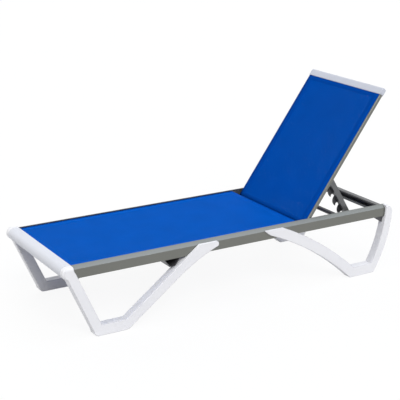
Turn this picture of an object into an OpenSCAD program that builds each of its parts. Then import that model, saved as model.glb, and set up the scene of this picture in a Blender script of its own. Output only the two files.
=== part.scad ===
/* [Frame] */
// Length from the nose of the foot bar to the head legs
frame_length = 1708; // [1690:1:1740]
// Height of the top of the side rails above the floor
seat_height = 326; // [322:1:332]
// Clear width between the two side rails
inner_width = 556; // [500:1:620]
// Gap between a hard part and the one it is seated in
fit_gap = 0.05; // [0.02:0.01:0.09]
// Gap between moving parts that pass each other
running_gap = 0.5; // [0.3:0.1:1]
// Play of the hinge brackets between bolt head and spacer
hinge_play = 0.1; // [0.05:0.05:0.3]

/* [Side rails] */
// Width of a side rail
rail_width = 22; // [20:0.5:26]
// Height of a side rail
rail_height = 54; // [52:1:56]
// Flat strip on the rail's top, next to the fabric
rail_crown = 3; // [2:0.5:5]
// How far the rail's top falls away outwards
rail_shoulder = 13; // [8:0.5:13]
// Wall of the rail extrusion
rail_wall = 2.5; // [2:0.1:2.6]
// Radius of the slot that holds the fabric's cord
slot_r = 2.8; // [2.6:0.1:2.9]
// Height of the mouth of that slot
slot_mouth = 2.4; // [2:0.1:2.8]
// Depth of the slot's middle below the rail's top
slot_drop = 6.6; // [6.4:0.1:8]

/* [Fabric] */
// Thickness of the woven sling
sling_thick = 1.4; // [1:0.1:1.8]
// Radius of the cord in the seat's hem
cord_r = 2.3; // [2:0.1:2.5]
// End of the seat sling, from the head end
seat_sling_in = 532; // [520:1:600]
// Radius of the cord in the backrest's hem
back_cord_r = 2.3; // [2:0.1:2.5]

/* [Foot bar] */
// Radius of the foot bar's nose
nose_r = 27; // [26:0.5:30]
// Length of the foot bar's top, from its nose to the fabric
nose_depth = 50; // [46:1:56]
// Wall of the hollow foot bar
nose_wall = 4; // [3:0.5:6]

/* [Legs] */
// Thickness of a leg, across the lounger
leg_thick = 43; // [38:1:48]
// How far a leg stands out beyond the rail
leg_lap = 10; // [9:0.5:13]
// Width of a leg's floor bar, seen from the side
floor_bar = 48; // [44:1:50]
// Radius of the rounded top edge of a leg's corner
corner_round = 9; // [6:0.5:9]
// How far the braces' laps stay below the rail's top
lap_drop = 11; // [11:0.5:13]

/* [Foot legs] */
// Width of the foot post, seen from the side
foot_post = 44; // [40:1:46]
// Middle of the foot post's top, from the foot end
foot_post_top_at = 38; // [36:1:42]
// Middle of the foot post's top, below the rail's top
foot_post_top_drop = 39; // [36:1:42]
// Middle of the corner between foot post and floor bar, from the foot end
foot_corner_at = 155; // [145:1:165]
// Width of the front brace, seen from the side
foot_brace = 43; // [40:0.5:46]
// Middle of the floor bar's heel, from the foot end
foot_heel_at = 284.5; // [275:0.5:295]
// Corner of the front brace under the rail's shoulder, from the foot end
foot_crest_at = 640; // [632:1:648]
// Distance from the heel to the bend in the brace's lower edge
foot_bend_on = 299; // [290:1:310]
// Radius of that bend
foot_bend_r = 800; // [760:10:840]
// End of the front brace's tip, from the foot end
foot_tip_at = 739; // [734:1:741]
// Radius of the tip's round upper edge
foot_tip_r = 9; // [7:1:11]

/* [Head legs] */
// Width of the head post, seen from the side
head_post = 40; // [37:1:44]
// Outer radius of the head post's bend
head_post_r = 637; // [630:1:645]
// Height of the middle of that bend above the floor
head_post_height = 344; // [340:1:350]
// Radius of the head post's top corner
head_corner_r = 40; // [38:1:42]
// Flat between the post's bend and that corner
head_flat = 2; // [1:0.5:4]
// How far the corner reaches beyond the side rail
head_corner_depth = 36; // [32:1:38]
// Width of the arched brace, seen from the side
head_brace = 49; // [45:1:52]
// Radius of the arched brace's middle line
head_bend_r = 1482.5; // [1440:2.5:1520]
// End of the floor bar inside the arch, from the head end
head_toe_at = 228; // [222:1:236]
// Foot of the arch's middle line, from the head end
head_heel_at = 240; // [236:0.5:244]
// Height of that point above the floor
head_heel_height = 34; // [32:0.5:36]
// Top of the arch's middle line, from the head end
head_crest_at = 640; // [634:1:646]
// How far that point lies below the rail's top
head_crest_drop = 32; // [31:0.5:34]
// End of the arched brace's tip, from the head end
head_tip_at = 724; // [718:1:728]
// Height of the tip's blunt end
head_tip = 4; // [3:0.5:5]
// Length of the slant below the tip
head_tip_run = 40; // [38:1:44]
// Rise of that slant
head_tip_rise = 30; // [28:1:32]

/* [Crossbars] */
// Outer radius of the catch bar
catch_r = 8; // [7:0.5:8]
// Catch bar, from the head end
catch_in = 268.3; // [268:0.1:270]
// Depth of the catch bar's middle below the rail's top
catch_drop = 37.7; // [37:0.1:39]
// Outer radius of the middle crossbar
mid_bar_r = 12.5; // [10:0.5:14]
// Middle crossbar, from the head end
mid_bar_in = 568; // [558:1:598]
// Depth of the middle crossbar below the rail's top
mid_bar_drop = 36; // [34:1:38]
// Wall of the round crossbars
tube_wall = 2; // [1.5:0.1:2.5]
// Foot spreader, from the foot end
spreader_at = 514; // [505:1:516]
// Width of the spreader's top
spreader_top = 80; // [70:1:84]
// Width of the spreader's bottom
spreader_bottom = 28; // [24:1:30]
// Height of the spreader
spreader_height = 36; // [30:1:36]
// Wall of the spreader
spreader_wall = 2.5; // [2:0.1:3]
// How far the spreader reaches under each side rail
spreader_reach = 17; // [12:1:20]
// Width of the head crossbar
head_bar_width = 24; // [20:1:26]
// Height of the head crossbar
head_bar_height = 38; // [34:1:42]
// Depth of the head crossbar's top below the rail's top
head_bar_drop = 5; // [5:0.5:7]
// How far it stays inside the ends of the side rails
head_bar_inset = 2; // [1:0.5:4]
// Wall of the head crossbar
head_bar_wall = 2.5; // [2:0.1:3]
// Height of the lip above the head crossbar's slot
head_bar_lip = 5; // [4:0.5:7]
// Height of the band below the slot
head_bar_band = 11; // [8:0.5:14]

/* [Brackets and screws] */
// Thickness of the corner brackets
bracket_thick = 4; // [3:0.5:5]
// Length of a corner bracket along the rail
bracket_length = 58; // [50:1:64]
// How far a corner bracket reaches down the post
bracket_drop = 32; // [26:1:40]
// Width of the corner bracket's flange under the rail
bracket_flange = 18; // [14:1:20]
// Radius of a leg screw
screw_r = 2.5; // [2:0.1:3]
// Radius of a leg screw's head
screw_head_r = 4.5; // [4:0.1:5]
// Height of a leg screw's head
screw_head = 1.8; // [1.2:0.1:2]
// Depth of the leg screws below the rail's top
screw_drop = 34; // [32:1:35]
// How deep a leg screw reaches into the plastic
screw_bite = 6; // [4:0.5:7]
// Inner screw of a brace, from the brace's tip
screw_near = 42; // [38:1:46]
// Outer screw of a brace, from the brace's tip
screw_away = 92; // [86:1:98]
// Radius of a rivet's head
rivet_r = 4; // [3:0.1:4.5]
// Height of a rivet's head
rivet_head = 1.6; // [1.2:0.1:2]

/* [Backrest] */
// Rest angle of the backrest above level
back_angle = 53.88; // [53.5:0.01:54.2]
// Hinge, from the head end
hinge_in = 457.3; // [456.5:0.1:458]
// Depth of the hinge below the rail's top
hinge_drop = 27; // [26.5:0.1:27.5]
// Length of the backrest from the hinge to the top of its cap
back_length = 710; // [680:1:740]
// How far the side tubes reach below the hinge
back_tail = 28; // [26:1:32]
// Gap between the backrest and a side rail
back_gap = 3; // [2.5:0.1:4]
// Width of a side tube
back_tube_width = 22; // [20:0.5:24]
// Depth of a side tube, square to the fabric
back_tube_depth = 18; // [17:0.5:18]
// Wall of a side tube
back_tube_wall = 2; // [1.5:0.1:2.2]
// Radius of the side tube's rounded outer edges
back_edge_r = 4; // [3.5:0.1:4.5]
// Radius of the slot for the backrest's cord
back_slot_r = 2.7; // [2.6:0.1:2.8]
// Width of the mouth of that slot
back_slot_mouth = 1.9; // [1.6:0.1:2.4]
// Distance of that slot from the tube's outer face
back_slot_in = 5.2; // [5:0.1:6]
// Radius of the round bars across the backrest
back_bar_r = 8; // [7:0.5:8]
// Lower bar, from the end of the side tubes
low_bar_in = 12; // [11:0.5:13]
// Upper bar, from the end of the side tubes
high_bar_in = 8.5; // [8.5:0.5:10]
// Lower edge of the back sling, from the end of the side tubes
back_sling_in = 4; // [2:0.5:8]
// Thickness of the plugs in the side tubes
plug_thick = 3; // [2:0.5:4]
// Depth of a plug inside its tube
plug_depth = 8; // [6:1:12]

/* [Cap] */
// Length of the white cap along the backrest
cap_length = 35; // [32:1:40]
// Thickness of the white cap
cap_thick = 24; // [23:0.5:26]
// Radius of the cap's round edges
cap_round = 8; // [6:0.5:10]
// How far the cap reaches out beyond a side tube
cap_lap = 2; // [1.5:0.1:2.2]
// How far the cap stands up above the fabric
cap_proud = 2; // [1.5:0.1:2.5]
// Thickness of the cap's end
cap_end = 12; // [10:1:14]

/* [Hinge] */
// Radius of a hinge bolt
bolt_r = 4; // [3:0.5:4.5]
// Radius of a hinge bolt's head
bolt_head_r = 7; // [6:0.5:8]
// Height of a hinge bolt's head
bolt_head = 4; // [3:0.5:5]
// How far a bolt stands through the rail's wall
bolt_end = 2.5; // [1:0.5:6]
// Radius of the hinge spacers
spacer_r = 7; // [6:0.5:7]
// Thickness of the hinge brackets
hinge_plate = 5; // [4:0.5:6]
// Radius of the ear round a hinge bolt
hinge_ear_r = 13; // [11:0.5:13]
// How far a hinge bracket reaches below its bolt
hinge_plate_low = 6; // [4:0.5:6]
// How far a hinge bracket reaches above its bolt
hinge_plate_high = 38; // [34:1:44]

/* [Prop] */
// Length of an arm between its two pins
arm_length = 258.6; // [257:0.1:260]
// Width of an arm
arm_width = 25; // [24:0.5:25]
// Thickness of an arm across the lounger
arm_thick = 20; // [16:1:22]
// How far an arm is set back from the claws, so that the notches stay free
arm_set = 5.2; // [5.2:0.1:6]
// Angle of the arms below level at rest
arm_angle = 59.38; // [59:0.01:60]
// Prop axle, along the backrest from the hinge
prop_at = 222.5; // [221:0.5:224]
// Depth of the prop axle below the backrest's fabric
prop_drop = 20; // [19.5:0.1:20.5]
// Radius of the prop axle
prop_pin_r = 7; // [6:0.5:7]
// Thickness of the prop brackets
prop_plate = 5; // [4:0.5:6]
// Radius of the ear round the prop axle
prop_ear_r = 14; // [12:0.5:15]
// Half the length of a prop bracket
prop_plate_half = 24; // [22:1:30]
// Radius of the link bar that joins the arms
link_r = 5; // [4:0.5:5]
// Radius of the caps on the link bar
link_cap_r = 9; // [8:0.5:10]
// Height of the caps on the link bar
link_cap_height = 4; // [3:0.5:5]

/* [Claws] */
// Thickness of a claw plate
claw_plate = 4; // [3:0.5:5]
// Number of claws on a plate
claw_count = 4; // [3:1:4]
// Distance from one claw to the next
claw_pitch = 54.5; // [53.5:0.5:54.5]
// Distance from the axle to the first claw's tip
first_claw_at = 90; // [88:0.5:91]
// Radius of a claw's back
claw_back_r = 30; // [29:0.5:30]
// How far the middle of that back lies before the claw's tip
claw_lead = 12; // [10:0.5:14]
// How far a claw reaches out from the plate's middle
claw_reach = 31; // [30:0.5:31]
// Radius of a notch
notch_r = 8.6; // [8.4:0.1:8.8]
// Height of a notch above the plate's middle
notch_out = 16; // [16:0.1:16.5]
// How far a notch lies beyond its claw's tip
notch_on = 3; // [2.5:0.1:4]
// Radius of a claw's tip
claw_tip_r = 2.2; // [1.8:0.1:2.4]
// Height of the tip above the plate's middle
claw_tip_out = 26.3; // [26:0.1:26.8]
// Width of the strip that carries the claws
strip_width = 16; // [14:0.5:16]
// Length of the strip before the first claw's tip
strip_lead = 45; // [42:1:52]
// Radius of the eye round the link bar
link_eye_r = 11; // [9:0.5:12]
// Rivets of a claw plate, from the ends of its strip
rivet_in = 6; // [4:1:10]
// Lowest rivet of a claw plate, from the link bar
rivet_low = 32; // [28:1:40]

/* [Hidden] */
$fn = 64;
// Overrun of every cut
cut = 1;

// Side rails and slings
half_inner = inner_width / 2;
rail_bottom = seat_height - rail_height;
rail_start_at = nose_depth + fit_gap;
rail_end_at = frame_length - head_corner_depth;
slot_in = rail_wall + slot_r;
sling_level = seat_height - slot_drop;
sling_start_at = rail_start_at + fit_gap;
sling_end_at = frame_length - seat_sling_in;

// Legs
leg_outer = half_inner + rail_width + leg_lap;
leg_inner = leg_outer - leg_thick;
lap_top = seat_height - lap_drop;
foot_r = floor_bar / 2;
screw_level = seat_height - screw_drop;
head_post_rise = head_post_height - seat_height + head_corner_r + head_flat;
head_post_middle = sqrt(head_post_r * head_post_r - head_post_rise * head_post_rise);
head_bend = arc_middle(
    [-head_crest_at, seat_height - head_crest_drop], [-head_heel_at, head_heel_height], head_bend_r
);
head_reach = head_bend_r - head_brace / 2;

// Places of the bars and the hinge, from the foot end
catch_at = frame_length - catch_in;
mid_bar_at = frame_length - mid_bar_in;
hinge_at = frame_length - hinge_in;

// Head crossbar
head_bar_end_at = rail_end_at - head_bar_inset;
head_bar_start_at = head_bar_end_at - head_bar_width;
head_bar_top = seat_height - head_bar_drop;
head_bar_bottom = head_bar_top - head_bar_height;

// Backrest, drawn level with its hinge at the origin
hinge_z = seat_height - hinge_drop;
back_outer = half_inner - back_gap;
back_inner = back_outer - back_tube_width;
back_top = hinge_drop - sling_thick;
back_bottom = back_top - back_tube_depth;
back_mid = back_top - back_tube_depth / 2;
back_slot_z = back_top - back_edge_r;
back_slot_y = back_outer - back_slot_in;
back_hollow_top = back_slot_z - back_slot_r - back_tube_wall;
back_tube_end = back_length - cap_end;
cap_start = back_length - cap_length;
cap_top = back_top + sling_thick + cap_proud;
cap_bottom = cap_top - cap_thick;

// Prop, drawn with its axle at the origin and the arm along +X
prop_z = hinge_drop - prop_drop;
arm_outer = back_inner - prop_plate - running_gap;
arm_inner = arm_outer - arm_thick;
strip_start = first_claw_at - strip_lead;

// Moves a piece that is drawn from the foot end
module from_foot(at) {
    translate([at - frame_length / 2, 0, 0]) children();
}

// Extrudes an outline, drawn along X and up, between two places across
module across(from, to) {
    translate([0, to, 0]) rotate([90, 0, 0]) linear_extrude(to - from) children();
}

// Extrudes an outline, drawn across and up, along X
module along(from, to) {
    from_foot(from) rotate([90, 0, 90]) linear_extrude(to - from) children();
}

// Puts a piece on the far side, and its mirror image on the near side
module both_sides() {
    children();
    mirror([0, 1, 0]) children();
}

// A round bar across the lounger between two places
module bar(from, to, r) {
    translate([0, to, 0]) rotate([90, 0, 0]) cylinder(h = to - from, r = r);
}

// A round tube across the whole lounger
module tube(half, r, wall) {
    difference() {
        bar(-half, half, r);
        bar(-half - cut, half + cut, r - wall);
    }
}

// A flat bar with round ends between two points
module capsule(a, b, w) {
    run = b - a;
    translate(a) circle(d = w);
    translate(b) circle(d = w);
    translate(a) rotate(atan2(run[1], run[0])) translate([0, -w / 2]) square([norm(run), w]);
}

// A rectangle given by two corners
module span(a, b) {
    translate(a) square(b - a);
}

// Middle of an arc of the given radius that bends downwards between two points
function arc_middle(a, b, r) = let (run = b - a, half = norm(run) / 2)
    (a + b) / 2 + [run[1], -run[0]] / norm(run) * sqrt(r * r - half * half);

// Cuts a shape down to the band of an arc
module bent(middle, inner, outer) {
    difference() {
        intersection() {
            translate(middle) circle(r = outer, $fn = 256);
            children();
        }
        translate(middle) circle(r = inner, $fn = 256);
    }
}

// Backrest pieces are drawn level and turned up about the hinge
module raised() {
    from_foot(hinge_at) translate([0, 0, hinge_z]) rotate([0, -back_angle, 0]) children();
}

// Prop pieces are drawn along +X from the axle
module propped() {
    raised() translate([prop_at, 0, prop_z]) rotate([0, back_angle + arm_angle, 0]) children();
}

// Section of a side rail without its hollows, on the far side
module rail_outline() {
    polygon([
        [half_inner, rail_bottom],
        [half_inner + rail_width, rail_bottom],
        [half_inner + rail_width, seat_height - rail_shoulder],
        [half_inner + rail_crown, seat_height],
        [half_inner, seat_height]
    ]);
}

// Slot for the fabric's cord, open towards the fabric
module rail_slot() {
    translate([half_inner + slot_in, sling_level]) circle(r = slot_r);
    span(
        [half_inner - cut, sling_level - slot_mouth / 2],
        [half_inner + slot_in, sling_level + slot_mouth / 2]
    );
}

// The rail's hollow below the slot
module rail_hollow() {
    web = sling_level - slot_r - rail_wall;
    span([half_inner + rail_wall, rail_bottom + rail_wall], [half_inner + rail_width - rail_wall, web]);
}

// Screws hold the tips of the braces to the rails, two each
function screw_places() = [
    foot_tip_at - screw_away, foot_tip_at - screw_near,
    frame_length - head_tip_at + screw_near, frame_length - head_tip_at + screw_away
];

// Holes for the leg screws, with the given play
module screw_shanks(play) {
    reach = half_inner + rail_width + screw_bite;
    for (at = screw_places()) {
        from_foot(at) translate([0, 0, screw_level]) bar(half_inner - play, reach + play, screw_r + play);
    }
}

module rail_solid() {
    inside = half_inner - cut;
    wall_end = half_inner + rail_wall + cut;
    difference() {
        along(rail_start_at, rail_end_at) difference() {
            rail_outline();
            rail_slot();
            rail_hollow();
        }
        from_foot(catch_at) translate([0, 0, seat_height - catch_drop])
            bar(inside, wall_end, catch_r + fit_gap);
        from_foot(mid_bar_at) translate([0, 0, seat_height - mid_bar_drop])
            bar(inside, wall_end, mid_bar_r + fit_gap);
        from_foot(hinge_at) translate([0, 0, hinge_z])
            bar(inside, wall_end, bolt_r + fit_gap);
        screw_shanks(fit_gap);
    }
}

module rail_far() {
    color("#8a8e93") rail_solid();
}

module rail_near() {
    color("#8a8e93") mirror([0, 1, 0]) rail_solid();
}

// Side view of the foot bar: a round nose with a flat top, and the same shape further in
module nose_outline(wall) {
    translate([nose_r, seat_height - nose_r]) circle(r = nose_r - wall);
    span([nose_r, rail_bottom + wall], [nose_depth - wall, seat_height - wall]);
}

module foot_bar() {
    color("#eceef2") from_foot(0) across(-half_inner, half_inner) difference() {
        nose_outline(0);
        nose_outline(nose_wall);
    }
}

// The front brace, drawn along X from its heel: straight above, bent down to its tip below
module foot_brace_band(reach) {
    low = foot_r + foot_bend_r;
    difference() {
        span([0, -low], [reach, foot_brace - foot_r]);
        span([-cut, -low - cut], [foot_bend_on, -foot_r]);
        translate([foot_bend_on, -low]) circle(r = foot_bend_r, $fn = 256);
    }
}

// The brace turned up to its crest, cut level below the rail's shoulder and rounded at its tip
module foot_brace_outline() {
    rise = [foot_crest_at - foot_heel_at, lap_top - foot_r];
    slope = atan2(rise[1], rise[0]) - asin((foot_brace - foot_r) / norm(rise));
    round_at = foot_tip_at - foot_tip_r;
    intersection() {
        translate([foot_heel_at, foot_r]) rotate(slope) foot_brace_band(2 * norm(rise));
        union() {
            span([foot_corner_at, 0], [round_at, lap_top]);
            span([foot_corner_at, 0], [foot_tip_at, lap_top - foot_tip_r]);
            translate([round_at, lap_top - foot_tip_r]) circle(r = foot_tip_r);
        }
    }
}

module foot_leg_outline() {
    corner = [foot_corner_at, foot_r];
    nose_outline(0);
    capsule([foot_post_top_at, seat_height - foot_post_top_drop], corner, foot_post);
    capsule(corner, [foot_heel_at, foot_r], floor_bar);
    foot_brace_outline();
}

// The arched brace's band, drawn from the head end, with a slant under its tip
module head_brace_outline() {
    slant_end = head_tip_run - head_tip_at;
    bent(head_bend, head_reach, head_reach + head_brace) polygon([
        [-head_tip_at, lap_top - head_tip], [slant_end, lap_top - head_tip - head_tip_rise],
        [slant_end, 0], [0, 0], [0, lap_top], [-head_tip_at, lap_top]
    ]);
}

// A disc on the middle of the post's bend, which lies where the bend meets the rounded corner
module head_post_disc(r) {
    translate([-head_post_middle, head_post_height]) circle(r = r, $fn = 256);
}

// The bent post and its rounded top corner share one inner curve
module head_post_outline() {
    corner_z = seat_height - head_corner_r;
    difference() {
        union() {
            intersection() {
                head_post_disc(head_post_r);
                span([head_bend[0] / 2, 0], [0, corner_z]);
            }
            intersection() {
                translate([-head_corner_r, corner_z]) circle(r = head_corner_r);
                span([-head_corner_r, rail_bottom], [0, seat_height]);
            }
            span([-head_corner_r - head_post, corner_z - cut], [-head_corner_r, seat_height]);
        }
        head_post_disc(head_post_r - head_post);
    }
}

// The floor bar's ends lie inside the arch and the post
module head_leg_outline() {
    run = sqrt(head_post_r * head_post_r - head_post_height * head_post_height);
    heel_at = head_post_middle - run + head_post / 4;
    head_post_outline();
    span([-head_toe_at, 0], [-heel_at, floor_bar]);
    head_brace_outline();
}

// Rounds the outer top edge of a leg and keeps the backrest's way free, seen along the lounger
module leg_section() {
    difference() {
        span([leg_inner, 0], [leg_outer, seat_height]);
        span([leg_outer - corner_round, seat_height - corner_round], [leg_outer + cut, seat_height + cut]);
        span([leg_inner - cut, rail_bottom], [half_inner, seat_height + cut]);
    }
    translate([leg_outer - corner_round, seat_height - corner_round]) circle(r = corner_round);
}

// A leg: its side view, thick under the rail and lapped over the rail's outer face
module leg_solid(at) {
    difference() {
        intersection() {
            from_foot(at) across(leg_inner, leg_outer) children();
            along(-cut, frame_length + cut) leg_section();
        }
        along(nose_depth, rail_end_at + fit_gap) rail_outline();
        screw_shanks(fit_gap);
    }
}

module foot_leg_far() {
    color("#eceef2") leg_solid(0) foot_leg_outline();
}

module foot_leg_near() {
    color("#eceef2") mirror([0, 1, 0]) leg_solid(0) foot_leg_outline();
}

module head_leg_far() {
    color("#eceef2") leg_solid(frame_length) head_leg_outline();
}

module head_leg_near() {
    color("#eceef2") mirror([0, 1, 0]) leg_solid(frame_length) head_leg_outline();
}

// Head crossbar: a box with its foot-facing side open between lip and band
module head_crossbar() {
    in = head_bar_wall;
    color("#6f7072") from_foot(0) across(-half_inner, half_inner) difference() {
        span([head_bar_start_at, head_bar_bottom], [head_bar_end_at, head_bar_top]);
        span([head_bar_start_at + in, head_bar_bottom + in], [head_bar_end_at - in, head_bar_top - in]);
        span(
            [head_bar_start_at - cut, head_bar_bottom + head_bar_band],
            [head_bar_start_at + in + cut, head_bar_top - head_bar_lip]
        );
    }
}

module mid_crossbar() {
    color("#6f7072") from_foot(mid_bar_at) translate([0, 0, seat_height - mid_bar_drop])
        tube(half_inner + rail_wall, mid_bar_r, tube_wall);
}

module catch_bar() {
    color("#5b5e63") from_foot(catch_at) translate([0, 0, seat_height - catch_drop])
        tube(half_inner + rail_wall, catch_r, tube_wall);
}

// Side view of the foot spreader, wide under the rails and narrow below
module spreader_outline(wall) {
    top = spreader_top / 2 - 2 * wall;
    low = spreader_bottom / 2 - wall;
    polygon([
        [-top, rail_bottom - wall], [-low, rail_bottom - spreader_height + wall],
        [low, rail_bottom - spreader_height + wall], [top, rail_bottom - wall]
    ]);
}

module foot_spreader() {
    half = half_inner + spreader_reach;
    color("#5b5e63") from_foot(spreader_at) difference() {
        across(-half, half) spreader_outline(0);
        across(-half - cut, half + cut) spreader_outline(spreader_wall);
    }
}

// A corner bracket's flange lies under the rail; its web follows the post's curve
module corner_brackets() {
    middle = half_inner + rail_width / 2;
    flange_z = rail_bottom - bracket_thick;
    reach = head_corner_depth + bracket_length;
    color("#6f7072") both_sides() from_foot(frame_length) {
        across(middle - bracket_flange / 2, middle + bracket_flange / 2) bracket_outline(reach) {
            span([-reach, flange_z], [0, rail_bottom]);
        }
        across(middle - bracket_thick / 2, middle + bracket_thick / 2) bracket_outline(reach) {
            polygon([
                [-reach, flange_z], [0, rail_bottom - 2 * bracket_drop],
                [0, rail_bottom], [-reach, rail_bottom]
            ]);
        }
    }
}

// Cuts a bracket's side view along the curve of the head post
module bracket_outline(reach) {
    intersection() {
        children();
        head_post_disc(head_post_r - head_post - fit_gap);
        span([-reach, rail_bottom - bracket_drop], [0, rail_bottom]);
    }
}

module leg_screws() {
    color("#b9bcc0") both_sides() {
        screw_shanks(0);
        for (at = screw_places()) {
            from_foot(at) translate([0, 0, screw_level])
                bar(half_inner - screw_head, half_inner, screw_head_r);
        }
    }
}

// Woven seat, held by the cords in its side hems
module seat_sling() {
    reach = half_inner + slot_in - cord_r;
    color("#0557be") from_foot(sling_start_at) translate([0, -reach, sling_level - sling_thick / 2])
        cube([sling_end_at - sling_start_at, 2 * reach, sling_thick]);
}

module seat_cords() {
    color("#1c2a45") both_sides() along(sling_start_at, sling_end_at)
        translate([half_inner + slot_in, sling_level]) circle(r = cord_r, $fn = 24);
}

// Hinge bolts run from the brackets through the rails' inner walls
module hinge_bolts() {
    start = back_inner - hinge_plate - hinge_play;
    color("#c4c7ca") both_sides() from_foot(hinge_at) translate([0, 0, hinge_z]) {
        bar(start, half_inner + rail_wall + bolt_end, bolt_r);
        bar(start - bolt_head, start, bolt_head_r);
    }
}

module hinge_spacers() {
    color("#2b2c2e") both_sides() from_foot(hinge_at) translate([0, 0, hinge_z]) difference() {
        bar(back_inner + hinge_play, half_inner, spacer_r);
        bar(back_inner, half_inner + cut, bolt_r + fit_gap);
    }
}

// Section of a side tube with round outer edges, seen along the tube, on the far side
module back_tube_round() {
    span([back_inner, back_bottom], [back_outer - back_edge_r, back_top]);
    span([back_inner, back_bottom + back_edge_r], [back_outer, back_slot_z]);
    translate([back_outer - back_edge_r, back_bottom + back_edge_r]) circle(r = back_edge_r);
    translate([back_outer - back_edge_r, back_slot_z]) circle(r = back_edge_r);
}

// The side tube's hollow, with play to leave for the plug
module back_tube_hollow(play) {
    in = back_tube_wall + play;
    span([back_inner + in, back_bottom + in], [back_outer - in, back_hollow_top - play]);
}

module back_tube_outline() {
    difference() {
        back_tube_round();
        back_tube_hollow(0);
        translate([back_slot_y, back_slot_z]) circle(r = back_slot_r);
        span(
            [back_slot_y - back_slot_mouth / 2, back_slot_z],
            [back_slot_y + back_slot_mouth / 2, back_top + cut]
        );
    }
}

// Extrudes a section along the backrest
module up_back(from, to) {
    translate([from, 0, 0]) rotate([90, 0, 90]) linear_extrude(to - from) children();
}

module back_rail_solid() {
    difference() {
        up_back(-back_tail, back_tube_end) back_tube_outline();
        for (at = [low_bar_in - back_tail, back_tube_end - high_bar_in]) {
            translate([at, 0, back_mid])
                bar(back_inner - cut, back_inner + back_tube_wall + fit_gap, back_bar_r + fit_gap);
        }
    }
}

module back_rail_far() {
    color("#8a8e93") raised() back_rail_solid();
}

module back_rail_near() {
    color("#8a8e93") raised() mirror([0, 1, 0]) back_rail_solid();
}

module back_low_bar() {
    color("#6f7072") raised() translate([low_bar_in - back_tail, 0, back_mid])
        tube(back_inner + back_tube_wall, back_bar_r, tube_wall);
}

module back_high_bar() {
    color("#6f7072") raised() translate([back_tube_end - high_bar_in, 0, back_mid])
        tube(back_inner + back_tube_wall, back_bar_r, tube_wall);
}

// Side view of the cap, with its rounded top end
module cap_outline() {
    span([cap_start, cap_bottom], [back_length - cap_round, cap_top]);
    span([cap_start, cap_bottom + cap_round], [back_length, cap_top - cap_round]);
    translate([back_length - cap_round, cap_top - cap_round]) circle(r = cap_round);
    translate([back_length - cap_round, cap_bottom + cap_round]) circle(r = cap_round);
}

// The cap is hollow for the tubes and slotted for the sling
module back_cap() {
    half = back_outer + cap_lap;
    color("#eceef2") raised() difference() {
        across(-half, half) cap_outline();
        across(-back_outer - fit_gap, back_outer + fit_gap) {
            span([cap_start - cut, back_bottom - fit_gap], [back_tube_end + fit_gap, back_top + fit_gap]);
            span(
                [cap_start - cut, back_top],
                [cap_start + cap_proud + fit_gap, back_top + sling_thick + fit_gap]
            );
        }
    }
}

module back_sling() {
    reach = back_slot_y + back_slot_mouth / 2;
    start = back_sling_in - back_tail;
    color("#0648a0") raised() translate([start, -reach, back_top])
        cube([cap_start + cap_proud - start, 2 * reach, sling_thick]);
}

module back_cords() {
    color("#1c2a45") raised() both_sides() up_back(back_sling_in - back_tail, cap_start)
        translate([back_slot_y, back_slot_z]) circle(r = back_cord_r, $fn = 24);
}

// Plugs close the lower ends of the side tubes
module back_plugs() {
    color("#2b2c2e") raised() both_sides() {
        up_back(-back_tail - plug_thick, -back_tail) back_tube_round();
        up_back(-back_tail - plug_thick, plug_depth - back_tail) back_tube_hollow(fit_gap);
    }
}

// A plate on a side tube's inner face, with a bored ear round a pin
module ear_outline(low, high, r, z, bore) {
    difference() {
        union() {
            translate([0, z]) circle(r = r);
            span([-low, back_bottom], [high, back_slot_z]);
            span([-r, z], [r, back_bottom + cut]);
        }
        translate([0, z]) circle(r = bore);
    }
}

module hinge_brackets() {
    color("#6f7072") raised() both_sides() across(back_inner - hinge_plate, back_inner)
        ear_outline(hinge_plate_low, hinge_plate_high, hinge_ear_r, 0, bolt_r + fit_gap);
}

module prop_brackets() {
    color("#6f7072") raised() both_sides() translate([prop_at, 0, 0])
        across(back_inner - prop_plate, back_inner)
            ear_outline(prop_plate_half, prop_plate_half, prop_ear_r, prop_z, prop_pin_r + fit_gap);
}

module bracket_rivets() {
    in = rivet_r + cut;
    up = back_slot_z - rivet_r - cut;
    color("#b9bcc0") raised() both_sides() {
        for (at = [prop_at - prop_plate_half + in, prop_at + prop_plate_half - in]) {
            translate([at, 0, up])
                bar(back_inner - prop_plate - rivet_head, back_inner - prop_plate, rivet_r);
        }
        for (at = [hinge_plate_high / 2, hinge_plate_high - in]) {
            translate([at, 0, up])
                bar(back_inner - hinge_plate - rivet_head, back_inner - hinge_plate, rivet_r);
        }
    }
}

module prop_axle() {
    color("#5b5e63") raised() translate([prop_at, 0, prop_z]) tube(back_inner, prop_pin_r, tube_wall);
}

// Side view of an arm, bored for the axle and the link bar
module arm_outline() {
    difference() {
        union() {
            capsule([0, arm_set], [arm_length, arm_set], arm_width);
            circle(d = arm_width);
        }
        circle(r = prop_pin_r + fit_gap);
        translate([arm_length, 0]) circle(r = link_r + fit_gap);
    }
}

module arm_solid() {
    propped() across(arm_inner, arm_outer) arm_outline();
}

module arm_far() {
    color("#77797a") arm_solid();
}

module arm_near() {
    color("#77797a") mirror([0, 1, 0]) arm_solid();
}

// One claw, its tip at the origin: a round back cut square, and a round tip
module claw_outline() {
    intersection() {
        translate([-claw_lead, claw_reach - claw_back_r]) circle(r = claw_back_r);
        span([-claw_lead - claw_back_r, 0], [0, claw_reach + cut]);
    }
}

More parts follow.
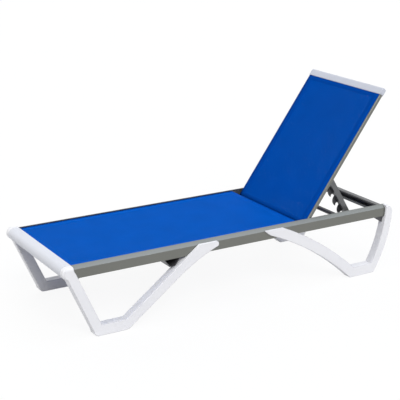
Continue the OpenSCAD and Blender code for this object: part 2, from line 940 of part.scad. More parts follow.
// The claws' notches open away from the axle, on the foot side of the arm
module claw_plate_outline() {
    difference() {
        union() {
            capsule([strip_start, 0], [arm_length, 0], strip_width);
            translate([arm_length, 0]) circle(r = link_eye_r);
            for (i = [0 : claw_count - 1]) {
                translate([first_claw_at + i * claw_pitch, 0]) claw_outline();
            }
        }
        for (i = [0 : claw_count - 1]) {
            translate([first_claw_at + i * claw_pitch + notch_on, notch_out]) circle(r = notch_r);
        }
        translate([arm_length, 0]) circle(r = link_r + fit_gap);
    }
    for (i = [0 : claw_count - 1]) {
        translate([first_claw_at + i * claw_pitch, claw_tip_out]) circle(r = claw_tip_r);
    }
}

module claw_plate_solid() {
    propped() across(arm_inner - claw_plate, arm_inner) mirror([0, 1]) claw_plate_outline();
}

module claw_plate_far() {
    color("#4f5153") claw_plate_solid();
}

module claw_plate_near() {
    color("#4f5153") mirror([0, 1, 0]) claw_plate_solid();
}

module link_bar() {
    color("#5b5e63") propped() translate([arm_length, 0, 0]) tube(arm_outer, link_r, tube_wall);
}

// Dome caps on the ends of the link bar
module link_caps() {
    color("#2b2c2e") propped() both_sides() translate([arm_length, arm_outer, 0]) rotate([-90, 0, 0])
        cylinder(h = link_cap_height, r1 = link_cap_r, r2 = link_cap_r - link_cap_height / 2);
}

module claw_rivets() {
    plate = arm_inner - claw_plate;
    last = arm_length - rivet_low;
    color("#b9bcc0") propped() both_sides() {
        for (at = [strip_start + rivet_in, (strip_start + last) / 2, last]) {
            translate([at, 0, 0]) bar(plate - rivet_head, plate, rivet_r);
        }
    }
}

rail_near();
rail_far();
foot_bar();
foot_leg_near();
foot_leg_far();
head_leg_near();
head_leg_far();
head_crossbar();
mid_crossbar();
foot_spreader();
catch_bar();
corner_brackets();
leg_screws();
seat_sling();
seat_cords();
hinge_bolts();
hinge_spacers();
back_rail_near();
back_rail_far();
back_low_bar();
back_high_bar();
back_cap();
back_sling();
back_cords();
back_plugs();
hinge_brackets();
prop_brackets();
bracket_rivets();
prop_axle();
arm_near();
arm_far();
claw_plate_near();
claw_plate_far();
link_bar();
link_caps();
claw_rivets();
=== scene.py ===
# %% [markdown]
# A sun lounger of painted aluminium and moulded white plastic, with two stretched slings of woven
# mesh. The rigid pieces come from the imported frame, in metres and in place. This script dresses
# them: it gives each one its finish, rounds the edges that a finger would feel, and makes the
# slings with their hems and seams.

# %% The frame
import math

import bmesh
import bpy
from mathutils import Matrix, Vector


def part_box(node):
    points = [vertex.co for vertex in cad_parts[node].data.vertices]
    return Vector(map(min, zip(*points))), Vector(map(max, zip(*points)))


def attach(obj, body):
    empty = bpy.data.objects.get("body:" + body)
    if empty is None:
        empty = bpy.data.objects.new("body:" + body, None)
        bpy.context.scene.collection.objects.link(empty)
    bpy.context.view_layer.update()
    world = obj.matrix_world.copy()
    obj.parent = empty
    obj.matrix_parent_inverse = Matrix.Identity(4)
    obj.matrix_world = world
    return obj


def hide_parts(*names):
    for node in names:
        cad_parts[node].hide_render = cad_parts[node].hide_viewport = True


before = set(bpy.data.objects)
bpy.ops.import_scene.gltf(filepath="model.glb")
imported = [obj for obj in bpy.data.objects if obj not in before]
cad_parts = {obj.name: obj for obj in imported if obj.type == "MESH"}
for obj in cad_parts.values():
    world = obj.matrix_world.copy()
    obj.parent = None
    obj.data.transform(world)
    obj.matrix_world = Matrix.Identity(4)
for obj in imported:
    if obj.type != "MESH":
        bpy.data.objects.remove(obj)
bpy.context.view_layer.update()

MM = 0.001

# %% [markdown]
# Colours are written as they look on a screen, in sRGB hex. Blender's sockets want linear light,
# so one function turns them round.

# %% Colours
PLASTIC_WHITE = "#f0f0f2"


def linear(hex_colour):
    """Turn an sRGB hex colour into linear red, green, blue and alpha."""
    out = []
    for at in (1, 3, 5):
        c = int(hex_colour[at:at + 2], 16) / 255
        out.append(c / 12.92 if c <= 0.04045 else ((c + 0.055) / 1.055) ** 2.4)
    return (*out, 1.0)


print("white plastic in linear light", linear(PLASTIC_WHITE))

# %% [markdown]
# Every finish is a small tree of nodes. One helper adds a node, sets its values and makes its
# links, so that each material below reads as a list of what it is made of. An input is given by
# its name, as in Base_Color, or by its number, as in _0, where several inputs share a name.

# %% Adding a node


def add(tree, kind, settings=None, **sockets):
    """Add a node, set its properties and inputs, and link the inputs that are given as outputs."""
    node = tree.nodes.new(kind)
    for name, value in (settings or {}).items():
        setattr(node, name, value)
    for name, value in sockets.items():
        number = name[1:]
        socket = node.inputs[int(number) if number.isdigit() else name.replace("_", " ")]
        if isinstance(value, bpy.types.NodeSocket):
            tree.links.new(value, socket)
        else:
            socket.default_value = value
    return node


def new_material(name):
    """Start a material with an empty tree and its output node."""
    material = bpy.data.materials.new(name)
    material.use_nodes = True
    tree = material.node_tree
    tree.nodes.clear()
    out = add(tree, "ShaderNodeOutputMaterial")
    return material, tree, out


# %% [markdown]
# The legs, the foot bar and the cap are polypropylene, injection moulded. The mould's face is
# finely spark-eroded, so the plastic has a soft satin sheen with a grain of about a millimetre.
# Handling leaves wide faint patches in its gloss and tint. A picture of plastic could be wrapped
# round each leg, but noise in millimetres needs no seams and keeps its scale on every piece.
# Every rounded edge carries an attribute named "wear", and there the plastic is rubbed glossier
# and a little greyer, in scuffs.

# %% Moulded plastic
PATCH, SCUFF = 90 * MM, 14 * MM
RUBBED_GREY = "#dcdcdd"
RUBBED_GLOSS = -0.1


def moulded_plastic(name, colour, dark, rough, grain_mm, gloss=0.5):
    """Satin plastic with a spark-eroded grain, glossier and greyer where "wear" is one."""
    material, tree, out = new_material(name)
    place = add(tree, "ShaderNodeTexCoord").outputs["Object"]
    patches = add(tree, "ShaderNodeTexNoise", Vector=place, Scale=1 / PATCH, Detail=3.0)
    grain = add(tree, "ShaderNodeTexNoise", Vector=place, Scale=1 / (grain_mm * MM), Detail=2.0)
    scuffs = add(tree, "ShaderNodeTexNoise", Vector=place, Scale=1 / SCUFF, Detail=5.0)
    edge = add(tree, "ShaderNodeAttribute", {"attribute_name": "wear"})
    worn = add(tree, "ShaderNodeMath", {"operation": "MULTIPLY"},
               _0=edge.outputs["Fac"], _1=scuffs.outputs["Fac"])
    tint = add(tree, "ShaderNodeMix", {"data_type": "RGBA"},
               _0=patches.outputs["Fac"], _6=linear(dark), _7=linear(colour))
    rubbed = add(tree, "ShaderNodeMix", {"data_type": "RGBA", "blend_type": "MULTIPLY"},
                 _0=worn.outputs[0], _6=tint.outputs[2], _7=linear(RUBBED_GREY))
    satin = add(tree, "ShaderNodeMapRange", Value=patches.outputs["Fac"],
                To_Min=rough - 0.06, To_Max=rough + 0.08)
    polished = add(tree, "ShaderNodeMath", {"operation": "MULTIPLY_ADD", "use_clamp": True},
                   _0=worn.outputs[0], _1=RUBBED_GLOSS, _2=satin.outputs["Result"])
    bump = add(tree, "ShaderNodeBump", Strength=0.05, Distance=0.2 * MM,
               Height=grain.outputs["Fac"])
    shader = add(tree, "ShaderNodeBsdfPrincipled", Base_Color=rubbed.outputs[2],
                 Roughness=polished.outputs[0], IOR=1.49, Specular_IOR_Level=gloss,
                 Normal=bump.outputs["Normal"])
    tree.links.new(shader.outputs["BSDF"], out.inputs["Surface"])
    return material


white_polypropylene = moulded_plastic("white moulded polypropylene",
                                      PLASTIC_WHITE, "#e8e8ec", 0.42, 1.6)
# The cap is the same white plastic as the legs: its greyer, bluish colour is painted shade with a
# painted sky reflection.
cap_plastic_painted_shade = moulded_plastic("cap polypropylene, white with painted shade and sky tint",
                                    "#cbcfd9", "#c2c6d1", 0.4, 1.6)
# The foot bar is the same white plastic too: its pale grey is painted shade.
foot_bar_plastic_painted_shade = moulded_plastic("foot bar polypropylene, white with painted shade",
                                    "#dddfe5", "#d3d6dd", 0.42, 1.6)
black_nylon = moulded_plastic("black moulded nylon", "#26272a", "#1b1c1e", 0.5, 1.2)
print("plastics made:", white_polypropylene.name, "and", black_nylon.name)

# %% [markdown]
# The rails and tubes are extruded aluminium under a baked powder coat. The coat flows out with a
# slight orange peel, a ripple of a few millimetres, and fine flakes vary its grey. Extruded edges
# wear first: where "wear" is one, the coat is rubbed through to brighter metal in small patches.
# Zinc plating varies as finely and wears at the same places, so the claws and the screws take
# their finish from the same nodes, with their own greys and more shine.

# %% Coated metal
PEEL, FLAKE, DRIFT, CHIP = 2.5 * MM, 0.9 * MM, 160 * MM, 9 * MM
CHIPS_FROM, CHIPS_TO = 0.5, 0.68


def powder_coat(name, colour, dark, bare, rough, metallic):
    """Thin coat over metal, with the bare metal showing in specks where "wear" is one."""
    material, tree, out = new_material(name)
    place = add(tree, "ShaderNodeTexCoord").outputs["Object"]
    peel = add(tree, "ShaderNodeTexNoise", Vector=place, Scale=1 / PEEL, Detail=1.0)
    flake = add(tree, "ShaderNodeTexNoise", Vector=place, Scale=1 / FLAKE, Detail=2.0)
    drift = add(tree, "ShaderNodeTexNoise", Vector=place, Scale=1 / DRIFT, Detail=2.0)
    chips = add(tree, "ShaderNodeTexNoise", Vector=place, Scale=1 / CHIP, Detail=6.0)
    both = add(tree, "ShaderNodeMath", {"operation": "MULTIPLY"},
               _0=flake.outputs["Fac"], _1=drift.outputs["Fac"])
    tint = add(tree, "ShaderNodeMix", {"data_type": "RGBA"},
               _0=both.outputs[0], _6=linear(colour), _7=linear(dark))
    edge = add(tree, "ShaderNodeAttribute", {"attribute_name": "wear"})
    chipped = add(tree, "ShaderNodeMapRange", Value=chips.outputs["Fac"],
                  From_Min=CHIPS_FROM, From_Max=CHIPS_TO)
    worn = add(tree, "ShaderNodeMath", {"operation": "MULTIPLY"},
               _0=edge.outputs["Fac"], _1=chipped.outputs["Result"])
    surface = add(tree, "ShaderNodeMix", {"data_type": "RGBA"},
                  _0=worn.outputs[0], _6=tint.outputs[2], _7=linear(bare))
    bump = add(tree, "ShaderNodeBump", Strength=0.15, Distance=0.15 * MM,
               Height=peel.outputs["Fac"])
    shader = add(tree, "ShaderNodeBsdfPrincipled", Base_Color=surface.outputs[2],
                 Metallic=metallic, Roughness=rough, Normal=bump.outputs["Normal"])
    tree.links.new(shader.outputs["BSDF"], out.inputs["Surface"])
    return material


BARE = "#a0a2a3"
grey_powder_coat = powder_coat("silver grey powder coat", "#7a7b76", "#70716c", BARE, 0.3, 0.8)
dark_powder_coat = powder_coat("dark grey powder coat", "#57575a", "#49494c", "#8f9194", 0.42, 0.5)
arm_powder_coat = powder_coat("mid grey powder coat", "#6c6d6e", "#5f6061", BARE, 0.4, 0.5)
claw_steel = powder_coat("black zinc plated steel", "#4a4b4e", "#3c3d40", "#8f9092", 0.38, 0.6)
zinc_steel = powder_coat("bright zinc plated steel", "#c3c6ca", "#a9acb0", "#d4d6d8", 0.3, 0.9)
print("coats made:", grey_powder_coat.name, dark_powder_coat.name, arm_powder_coat.name)

# %% [markdown]
# Each CAD node keeps its shape and takes its finish from this table. A row holds the width of the
# rounding along the edges in millimetres, where zero leaves the nodes as they are, then the
# material with its slot in the record, the body that the nodes move with, and the nodes.

# %% Finishes of the CAD nodes
RAIL = (grey_powder_coat, "rail_metal")
DARK = (dark_powder_coat, "dark_metal")
CROSSBAR = (arm_powder_coat, "dark_metal")
ARM = (arm_powder_coat, "arm_metal")
CLAW = (claw_steel, "dark_metal")
ZINC = (zinc_steel, "screw_steel")
NYLON = (black_nylon, "black_plastic")
WHITE = (white_polypropylene, "white_plastic")
CAP = (cap_plastic_painted_shade, "white_plastic")
BAR = (foot_bar_plastic_painted_shade, "white_plastic")
FINISH = [
    (0.5, RAIL, "frame", ["rail_near", "rail_far"]),
    (0.4, RAIL, "backrest", ["back_rail_near", "back_rail_far"]),
    (0.6, DARK, "frame", ["foot_spreader", "corner_brackets"]),
    (0.6, CROSSBAR, "frame", ["head_crossbar"]),
    (0.0, DARK, "frame", ["mid_crossbar", "catch_bar"]),
    (0.4, DARK, "backrest", ["hinge_brackets", "prop_brackets"]),
    (0.0, DARK, "backrest", ["back_low_bar", "back_high_bar", "prop_axle"]),
    (0.0, DARK, "prop", ["link_bar"]),
    (1.2, ARM, "prop", ["arm_near", "arm_far"]),
    (0.4, CLAW, "prop", ["claw_plate_near", "claw_plate_far"]),
    (0.0, ZINC, "frame", ["leg_screws", "hinge_bolts"]),
    (0.0, ZINC, "backrest", ["bracket_rivets"]),
    (0.0, ZINC, "prop", ["claw_rivets"]),
    (0.0, NYLON, "frame", ["hinge_spacers", "seat_cords"]),
    (0.0, NYLON, "backrest", ["back_plugs", "back_cords"]),
    (0.0, NYLON, "prop", ["link_caps"]),
    (3.0, WHITE, "frame", ["foot_leg_near", "foot_leg_far"]),
    (2.5, WHITE, "frame", ["head_leg_near", "head_leg_far"]),
    (2.5, CAP, "backrest", ["back_cap"]),
    (0.5, BAR, "frame", ["foot_bar"]),
]
for _, (material, _), _, nodes in FINISH:
    for node in nodes:
        for material_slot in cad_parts[node].material_slots:
            material_slot.material = material
print("finished nodes:", sum(len(nodes) for *_, nodes in FINISH))

# %% [markdown]
# No real edge is a knife edge: moulds, extrusion dies and punches all leave a radius, and the
# light catches it as a thin line. A Bevel modifier could round them, but it can't tell a rim
# worth rounding from a screw hole. So such a node is copied, its loose triangles are joined, its
# flat faces are merged, and its sharp edges are picked and bevelled here.
#
# Rims of screw holes stay crisp, so a chain of edges counts only if it is longer than a hole. The
# hollow rails are sawn off, so only the edges that run along them are rounded. Sets forget their
# order, so the edges are handed on as a list in the shape's own order, alike in each run. The new
# faces get "wear" one, the old ones zero.

# %% Edges that get a rounding
HOLE, SAWN = 25 * MM, 200 * MM
SHARP, FOLDED = math.radians(40), math.radians(125)
SEGMENTS = 3


def long_chains(edges):
    """Keep the edges whose connected chain reaches further than a screw hole does, in order."""
    kept, left = set(), set(edges)
    while left:
        chain, front = [], [left.pop()]
        while front:
            edge = front.pop()
            chain.append(edge)
            near = [link for vert in edge.verts for link in vert.link_edges if link in left]
            left.difference_update(near)
            front += near
        places = [vert.co for edge in chain for vert in edge.verts]
        reach = max(max(p[i] for p in places) - min(p[i] for p in places) for i in range(3))
        if reach > HOLE:
            kept.update(chain)
    return [edge for edge in edges if edge in kept]


def sharp_edges(shape):
    """List the edges that a finger would feel, apart from slivers and screw holes."""
    return long_chains([edge for edge in shape.edges if len(edge.link_faces) == 2
                        and SHARP < edge.calc_face_angle(0) < FOLDED])


def extruded_edges(shape):
    """List only the sharp edges that run along a hollow rail, because its ends are sawn."""
    return [edge for edge in sharp_edges(shape) if edge.calc_length() > SAWN]


def round_over(shape, edges, width, wear):
    """Bevel edges and mark the new faces as worn."""
    made = bmesh.ops.bevel(shape, geom=edges, offset=width, offset_type="OFFSET", affect="EDGES",
                           segments=SEGMENTS, profile=0.5, material=-1, clamp_overlap=False)
    for face in made["faces"]:
        face[wear] = 1.0


# %% [markdown]
# Two places are rounder than the rest: the cap's ends are domed, and so is the head of each foot
# leg, where it closes the foot bar. Planes cut rings into each end, and every ring is drawn in
# along a quarter of an ellipse, the cap's towards its middle and the leg's towards the middle of
# the round nose, less and less further down the post. A much wider bevel could do it too, but it
# would run into the edges beside it and fold.

# %% Rounder ends
DOME_LENGTH, DOME_INSET = 9 * MM, 6 * MM
NOSE_LENGTH, NOSE_INSET, NOSE_RADIUS = 9 * MM, 7 * MM, 27 * MM
NOSE_MIDDLE = Vector((-827 * MM, 0, 299 * MM))
POST_FROM, POST_TO, POST_BACK = 250 * MM, 290 * MM, -627 * MM
RING_SHARES = (1.0, 0.7, 0.45, 0.25, 0.1)


def cut(shape, point, normal):
    """Cut a whole shape along a plane and keep both sides."""
    bmesh.ops.bisect_plane(shape, geom=shape.verts[:] + shape.edges[:] + shape.faces[:],
                           plane_co=point, plane_no=normal)


def rings(shape, far, length):
    """Cut rings into both ends of a shape."""
    for share in RING_SHARES:
        for side in (-1, 1):
            cut(shape, (0, side * (far - share * length), 0), (0, 1, 0))


def drawn_in(vert, far, length):
    """Say which share of the inset a ring gets: none where the dome starts, all at its end."""
    past = min(1, max(0, 1 - (far - abs(vert.co.y)) / length))
    return 1 - math.sqrt(1 - past ** 2)


def dome_cap(shape):
    """Draw both ends of the cap in to a dome."""
    far = max(vert.co.y for vert in shape.verts)
    rings(shape, far, DOME_LENGTH)
    xs, zs = [vert.co.x for vert in shape.verts], [vert.co.z for vert in shape.verts]
    middle = Vector(((min(xs) + max(xs)) / 2, 0, (min(zs) + max(zs)) / 2))
    half = (max(zs) - min(zs)) / 2
    for vert in shape.verts:
        share = drawn_in(vert, far, DOME_LENGTH) * DOME_INSET / half
        vert.co.x += (middle.x - vert.co.x) * share
        vert.co.z += (middle.z - vert.co.z) * share


def dome_nose(shape):
    """Draw the outer side of a foot leg in, round the nose that closes the foot bar."""
    far = max(abs(vert.co.y) for vert in shape.verts)
    rings(shape, far, NOSE_LENGTH)
    for vert in shape.verts:
        height = min(1, max(0, (vert.co.z - POST_FROM) / (POST_TO - POST_FROM)))
        share = drawn_in(vert, far, NOSE_LENGTH) * NOSE_INSET / NOSE_RADIUS * height
        if vert.co.x < POST_BACK:
            vert.co.x += max(0, NOSE_MIDDLE.x - vert.co.x) * share
            vert.co.z += (NOSE_MIDDLE.z - vert.co.z) * share


# %% [markdown]
# The copies are made here. A moulded piece's arcs come in short steps, and a step shorter than
# the rounding would fold it, so such points are joined first, along the rims, and on the head
# legs everywhere, because their screw holes lie close to the rims. Weighted normals keep the flat
# faces flat in the light, and the copy stands for the node.

# %% Softened copies
WELD, SLIVER, ARC_STEP = 0.3 * MM, 0.05 * MM, 2.5 * MM
FLAT, CREASE = math.radians(1.5), math.radians(35)


def piece_from(shape, name, material, smooth=False):
    """Turn a bmesh into an object at the origin, with its material."""
    mesh = bpy.data.meshes.new(name)
    shape.to_mesh(mesh)
    shape.free()
    mesh.materials.append(material)
    for face in mesh.polygons:
        face.use_smooth = smooth
    piece = bpy.data.objects.new(name, mesh)
    bpy.context.collection.objects.link(piece)
    return piece


def softened(node, width, material):
    """Copy a CAD node and round its sharp edges; the copy stands for the node."""
    shape = bmesh.new()
    shape.from_mesh(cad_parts[node].data)
    bmesh.ops.remove_doubles(shape, verts=shape.verts, dist=WELD)
    bmesh.ops.dissolve_limit(shape, angle_limit=FLAT, verts=shape.verts, edges=shape.edges)
    if width >= ARC_STEP:
        rounded = set(sharp_edges(shape))
        rims = [vert for vert in shape.verts if any(edge in rounded for edge in vert.link_edges)]
        joined = shape.verts[:] if node.startswith("head_leg") else rims
        bmesh.ops.remove_doubles(shape, verts=joined, dist=ARC_STEP)
    wear = shape.faces.layers.float.new("wear")
    edges = extruded_edges(shape) if "rail_" in node else sharp_edges(shape)
    round_over(shape, edges, width, wear)
    if node == "back_cap":
        dome_cap(shape)
    if node.startswith("foot_leg"):
        dome_nose(shape)
    bmesh.ops.dissolve_degenerate(shape, dist=SLIVER, edges=shape.edges)
    piece = piece_from(shape, node + "_finished", material, smooth=True)
    piece.data.set_sharp_from_angle(angle=CREASE)
    flat = piece.modifiers.new("flat faces stay flat", "WEIGHTED_NORMAL")
    flat.keep_sharp = True
    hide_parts(node)
    print(piece.name, "faces", len(piece.data.polygons))
    return piece


for width, (material, slot), body, nodes in FINISH:
    if width > 0:
        for node in nodes:
            piece = softened(node, width * MM, material)
            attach(piece, body)

# %% [markdown]
# The slings are a mesh of polyester threads that are coated in PVC and woven one over one. The
# real threads lie about 1.6 mm apart. Here they lie 2.2 mm apart, a little coarser, so that the
# weave shows. Threads in real geometry would take millions of faces, so the weave is a wave each
# way in the material. Where two threads pass under their neighbours a pinhole stays open, so the
# cloth is slightly see-through, but in the hems two layers lie on each other and close it.

# %% Woven mesh
THREAD = 2.2 * MM
CLOUD = 120 * MM


def woven_mesh(name, colour, dark, hem_colour, pinhole):
    """Plain weave in the cloth's own UV, in metres, closed where the attribute "hem" is one."""
    material, tree, out = new_material(name)
    uv = add(tree, "ShaderNodeUVMap", {"uv_map": "cloth"}).outputs["UV"]
    axes = add(tree, "ShaderNodeSeparateXYZ", Vector=uv)
    waves, rounds = [], []
    for axis in ("X", "Y"):
        turn = add(tree, "ShaderNodeMath", {"operation": "MULTIPLY"},
                   _0=axes.outputs[axis], _1=math.pi / THREAD)
        wave = add(tree, "ShaderNodeMath", {"operation": "SINE"}, _0=turn.outputs[0])
        thread = add(tree, "ShaderNodeMath", {"operation": "ABSOLUTE"}, _0=wave.outputs[0])
        waves.append(wave.outputs[0])
        rounds.append(thread.outputs[0])
    crossing = add(tree, "ShaderNodeMath", {"operation": "MULTIPLY"}, _0=waves[0], _1=waves[1])
    over = add(tree, "ShaderNodeMath", {"operation": "GREATER_THAN"},
               _0=crossing.outputs[0], _1=0.0)
    height = add(tree, "ShaderNodeMix", {"data_type": "FLOAT"},
                 _0=over.outputs[0], _2=rounds[0], _3=rounds[1])
    widest = add(tree, "ShaderNodeMath", {"operation": "MAXIMUM"}, _0=rounds[0], _1=rounds[1])
    hole = add(tree, "ShaderNodeMath", {"operation": "LESS_THAN"},
               _0=widest.outputs[0], _1=pinhole)
    hem = add(tree, "ShaderNodeAttribute", {"attribute_name": "hem"})
    single = add(tree, "ShaderNodeMath", {"operation": "SUBTRACT", "use_clamp": True},
                 _0=hole.outputs[0], _1=hem.outputs["Fac"])
    closed = add(tree, "ShaderNodeMath", {"operation": "SUBTRACT"},
                 _0=1.0, _1=single.outputs[0])
    cloud = add(tree, "ShaderNodeTexNoise", Vector=uv, Scale=1 / CLOUD, Detail=4.0)
    # The blue is painted darker where a thread dips under its neighbour, as painted shade in the
    # weave's hollows; the slow cloud varies the tone at random.
    shade = add(tree, "ShaderNodeMath", {"operation": "MULTIPLY"},
                _0=height.outputs[0], _1=cloud.outputs["Fac"])
    tint = add(tree, "ShaderNodeMix", {"data_type": "RGBA"},
               _0=shade.outputs[0], _6=linear(dark), _7=linear(colour))
    whole = add(tree, "ShaderNodeMix", {"data_type": "RGBA"},
                _0=hem.outputs["Fac"], _6=tint.outputs[2], _7=linear(hem_colour))
    bump = add(tree, "ShaderNodeBump", Strength=0.5, Distance=0.5 * MM, Height=height.outputs[0])
    shader = add(tree, "ShaderNodeBsdfPrincipled", Base_Color=whole.outputs[2], Roughness=0.6,
                 IOR=1.5, Specular_IOR_Level=0.008, Alpha=closed.outputs[0],
                 Normal=bump.outputs["Normal"])
    tree.links.new(shader.outputs["BSDF"], out.inputs["Surface"])
    return material


seat_weave = woven_mesh("blue seat mesh of coated polyester",
                        "#0060cc", "#0050ac", "#005ac0", pinhole=0.28)
# The back is the same cloth as the seat: its darker blues are painted shade for the lesser light
# on the leaning back, and its still darker hem is painted shade for the light that a double layer
# doesn't let through.
back_weave_painted_shade = woven_mesh("blue back mesh, painted darker as shade",
                        "#0255bc", "#0047a2", "#0045a0", pinhole=0.45)
thread_blue = moulded_plastic("blue sewing thread", "#0650aa", "#044498", 0.6, 1.0, gloss=0.05)
print("cloths made:", seat_weave.name, back_weave_painted_shade.name, "and", thread_blue.name)

# %% [markdown]
# Each sling is one strip, held along both sides and pulled tight, so it dips only a few
# millimetres between the rails, and not at all at its ends, where it passes over a cross bar.
# A cloth simulation would hardly move it, so the dip is a formula. The strip starts as a grid of
# the cut cloth's size, cut again by planes where a hem begins. Its flat place becomes its UV map,
# in metres, so that the weave keeps its scale. The hems are folded double, so they stand a thread
# higher. Then the strip is dipped and carried to its place.

# %% The strip and its hems
SIDE_HEM, END_HEM = 38 * MM, 24 * MM
STEP, FOLD = 1.5 * MM, 0.6 * MM
DIP = 3 * MM
ALONG, ACROSS = Vector((1, 0, 0)), Vector((0, 1, 0))


def sag(x, y, width, length):
    """Say how far the strip hangs down at a place."""
    return DIP * (1 - (2 * y / width) ** 2) * (1 - (2 * x / length - 1) ** 6)


def cut_hems(shape, width, length):
    """Cut the strip on both sides of the step that each hem makes."""
    for inset in (0, STEP):
        for normal, edge, hem_width in ((ALONG, 0, END_HEM), (ALONG, length, END_HEM),
                                        (ACROSS, -width / 2, SIDE_HEM),
                                        (ACROSS, width / 2, SIDE_HEM)):
            inwards = 1 if edge <= 0 else -1
            cut(shape, normal * (edge + inwards * (hem_width + inset)), normal)


# %% Sling
GRID_ALONG, GRID_ACROSS = 48, 26
CLOTH = 0.5 * MM


def sling(name, width, length, place, material):
    """Cut a strip along X with its foot end at the origin, fold its hems, dip it and place it."""
    shape = bmesh.new()
    bmesh.ops.create_grid(shape, x_segments=GRID_ALONG, y_segments=GRID_ACROSS, size=0.5)
    bmesh.ops.scale(shape, vec=(length, width, 1), verts=shape.verts)
    bmesh.ops.translate(shape, vec=(length / 2, 0, 0), verts=shape.verts)
    cut_hems(shape, width, length)
    uv = shape.loops.layers.uv.new("cloth")
    hem = shape.faces.layers.float.new("hem")

    def inside(at):
        """Say how far a place lies inside the hems."""
        return min(at.x - END_HEM, length - END_HEM - at.x, width / 2 - SIDE_HEM - abs(at.y))

    for face in shape.faces:
        face[hem] = 1.0 if inside(face.calc_center_median()) < 0 else 0.0
        for loop in face.loops:
            loop[uv].uv = loop.vert.co.xy
    for vert in shape.verts:
        lift = 0 if inside(vert.co) < STEP / 2 else -FOLD
        vert.co.z = lift - sag(vert.co.x, vert.co.y, width, length)
    bmesh.ops.transform(shape, matrix=place, verts=shape.verts)
    piece = piece_from(shape, name, material, smooth=True)
    body = piece.modifiers.new("thickness of the cloth", "SOLIDIFY")
    body.thickness = CLOTH
    body.offset = -1
    print(piece.name, "flat size", round(width, 4), round(length, 4))
    return piece


# %% [markdown]
# A hem is sewn with a lock stitch of 4.5 mm. Each stitch is a six-sided bead of thread, drawn out
# and sunk in the cloth by almost half. Hundreds of them are joined in one mesh, so a bead has only
# a few faces. The seams run in the hem, 5 mm from its inner edge, all round the sling.

# %% Seams
STITCH, SEAM_INSET = 4.5 * MM, 5 * MM
BEAD, BEAD_STRETCH, BEAD_ABOVE = 0.7 * MM, 2.6, 0.1 * MM
QUARTER = math.radians(90)


def seams(name, width, length, place):
    """Lay the stitches of the four hems of a sling."""
    shape = bmesh.new()
    drawn_out = Matrix.Rotation(QUARTER, 4, "Y") @ Matrix.Diagonal((1, 1, BEAD_STRETCH, 1))
    bmesh.ops.create_uvsphere(shape, u_segments=6, v_segments=4, radius=BEAD, matrix=drawn_out)
    bead = bpy.data.meshes.new("bead of thread")
    shape.to_mesh(bead)
    shape.clear()
    seam_y = width / 2 - SIDE_HEM + SEAM_INSET
    seam_x = END_HEM - SEAM_INSET
    places = [(seam_x + (k + 0.5) * STITCH, side * seam_y, 0)
              for k in range(int((length - 2 * seam_x) / STITCH)) for side in (-1, 1)]
    places += [(x, -seam_y + (k + 0.5) * STITCH, QUARTER)
               for k in range(int(2 * seam_y / STITCH)) for x in (seam_x, length - seam_x)]
    for x, y, turn in places:
        at = Matrix.Translation((x, y, BEAD_ABOVE - sag(x, y, width, length)))
        stitch = bead.copy()
        stitch.transform(place @ at @ Matrix.Rotation(turn, 4, "Z"))
        shape.from_mesh(stitch)
        bpy.data.meshes.remove(stitch)
    bpy.data.meshes.remove(bead)
    piece = piece_from(shape, name, thread_blue)
    print(piece.name, "stitches", len(places))
    return piece


# %% [markdown]
# The seat's sling lies flat on the frame. Its CAD solid gives its width, its length and its upper
# face, so the cloth is fitted to that box.

# %% Seat sling
lo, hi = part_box("seat_sling")
seat_length = hi.x - lo.x
seat_width = hi.y - lo.y
lie_flat = Matrix.Translation((lo.x, 0, hi.z))
seat = sling("seat_cloth", seat_width, seat_length, lie_flat, seat_weave)
seat_seams = seams("seat_seams", seat_width, seat_length, lie_flat)
for piece, slot in ((seat, "seat_mesh"), (seat_seams, "hem_cord")):
    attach(piece, "frame")
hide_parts("seat_sling")

# %% [markdown]
# The backrest's sling leans with the backrest, so its solid's box gives only the width. Its
# length, its start below the hinge and its height over the hinge's line come from the same sizes
# as the CAD solid, and it is turned round the hinge bolts by the backrest's angle at rest.

# %% Back sling
BACK_ANGLE = math.radians(53.88)
HINGE = Vector((396.7, 0, 299)) * MM
BACK_START, BACK_END, BACK_LEVEL = -24, 677, 27
back_length = (BACK_END - BACK_START) * MM
lo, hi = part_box("back_sling")
back_width = hi.y - lo.y
lie_back = (Matrix.Translation(HINGE) @ Matrix.Rotation(-BACK_ANGLE, 4, "Y")
            @ Matrix.Translation((BACK_START * MM, 0, BACK_LEVEL * MM)))
back = sling("back_cloth", back_width, back_length, lie_back, back_weave_painted_shade)
back_seams = seams("back_seams", back_width, back_length, lie_back)
for piece, slot in ((back, "back_mesh"), (back_seams, "hem_cord")):
    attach(piece, "backrest")
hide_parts("back_sling")

# %% [markdown]
# The studio: a pale floor that the camera sees as white but that keeps the shadow. Rays that
# look, be it straight or by way of a shiny surface, find that white background. Rays that carry
# light find a grey floor and dim air, so the light on the lounger stays plain.

# %% Floor
FLOOR_HALF = 30
FLOOR_GLOW = 0.91
FLOOR_LIT, FLOOR_SEEN = "#b2b2b4", "#f9f9f9"
PURE_WHITE = (1, 1, 1, 1)


def looking(tree):
    """One for a ray that shows the background: from the camera, off gloss or through glass."""
    path = add(tree, "ShaderNodeLightPath")
    shiny = add(tree, "ShaderNodeMath", {"operation": "MAXIMUM"},
                _0=path.outputs["Is Glossy Ray"], _1=path.outputs["Is Transmission Ray"])
    both = add(tree, "ShaderNodeMath", {"operation": "MAXIMUM"},
               _0=path.outputs["Is Camera Ray"], _1=shiny.outputs[0])
    return both.outputs[0]


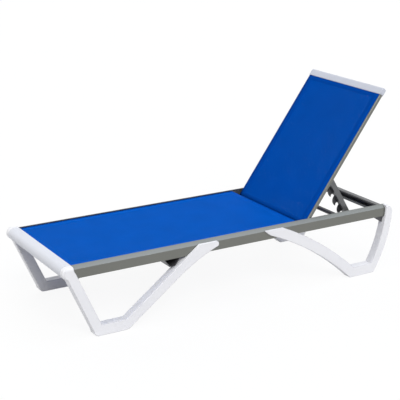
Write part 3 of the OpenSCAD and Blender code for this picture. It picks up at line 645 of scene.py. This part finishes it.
floor_material, tree, out = new_material("pale studio floor")
seen = looking(tree)
pale = add(tree, "ShaderNodeMix", {"data_type": "RGBA"},
           _0=seen, _6=linear(FLOOR_LIT), _7=linear(FLOOR_SEEN))
lit = add(tree, "ShaderNodeBsdfDiffuse", Color=pale.outputs[2])
glow = add(tree, "ShaderNodeEmission", Color=PURE_WHITE, Strength=1.0)
share = add(tree, "ShaderNodeMath", {"operation": "MULTIPLY"}, _0=seen, _1=FLOOR_GLOW)
mix = add(tree, "ShaderNodeMixShader", _0=share.outputs[0], _1=lit.outputs[0], _2=glow.outputs[0])
tree.links.new(mix.outputs[0], out.inputs["Surface"])
ground = bmesh.new()
bmesh.ops.create_grid(ground, x_segments=1, y_segments=1, size=FLOOR_HALF)
floor = piece_from(ground, "studio_floor", floor_material)
print("floor laid")

# %% Air
AIR_LIGHT = 0.33
world = bpy.data.worlds.new("studio air")
bpy.context.scene.world = world
world.use_nodes = True
tree = world.node_tree
tree.nodes.clear()
dim = add(tree, "ShaderNodeMix", {"data_type": "FLOAT"}, _0=looking(tree), _2=AIR_LIGHT, _3=1.0)
air = add(tree, "ShaderNodeBackground", Color=PURE_WHITE, Strength=dim.outputs[0])
add(tree, "ShaderNodeOutputWorld", Surface=air.outputs[0])
print("air lit at", AIR_LIGHT)

# %% [markdown]
# One large soft lamp stands high on the camera's side, a weaker one overhead, and faint ones
# beyond the foot end and on the far side. The one on the far side shines towards the camera at
# the angle of a mirror, so it is kept out of the gloss, or the blue would turn milky. Each is a
# sun, because a sun lights the near end and the far end alike.

# %% Lamps


def lamp(name, towards, strength, spread, colour, in_gloss=True):
    """A large soft lamp far away in a direction, so that it lights near and far alike."""
    light = bpy.data.lights.new(name, "SUN")
    light.color = linear(colour)[:3]
    light.energy = strength * math.pi
    light.angle = math.radians(spread)
    holder = bpy.data.objects.new(name, light)
    bpy.context.collection.objects.link(holder)
    holder.rotation_euler = Vector(towards).to_track_quat("Z", "Y").to_euler()
    holder.visible_glossy = in_gloss


lamp("key", (-0.15, -0.74, 0.65), 0.66, 35, "#fffefc")
lamp("top", (0.4, -0.25, 0.88), 0.23, 45, "#d8e6ff")
lamp("foot end", (-0.95, -0.1, 0.3), 0.24, 40, "#ffffff")
lamp("far side", (0.25, 0.85, 0.45), 0.25, 50, "#ffffff", in_gloss=False)
print("lamps set")

# %% [markdown]
# The camera stands where the photograph's perspective puts it: beyond the foot end on the near
# side, looking down by seventeen degrees through a long lens.

# %% Camera
SENSOR, LENS = 36, 101.52
CAMERA_PLACE = (-2.54707, -4.23436, 1.94766)
TILT, HEADING = math.radians(72.609), math.radians(-30.753)
camera_data = bpy.data.cameras.new("photographer")
camera_data.sensor_width = SENSOR
camera_data.lens = LENS
camera = bpy.data.objects.new("photographer", camera_data)
bpy.context.collection.objects.link(camera)
camera.location = CAMERA_PLACE
camera.rotation_euler = (TILT, 0, HEADING)
bpy.context.scene.camera = camera
bpy.context.scene.view_settings.view_transform = "Standard"
print("camera placed at", CAMERA_PLACE)
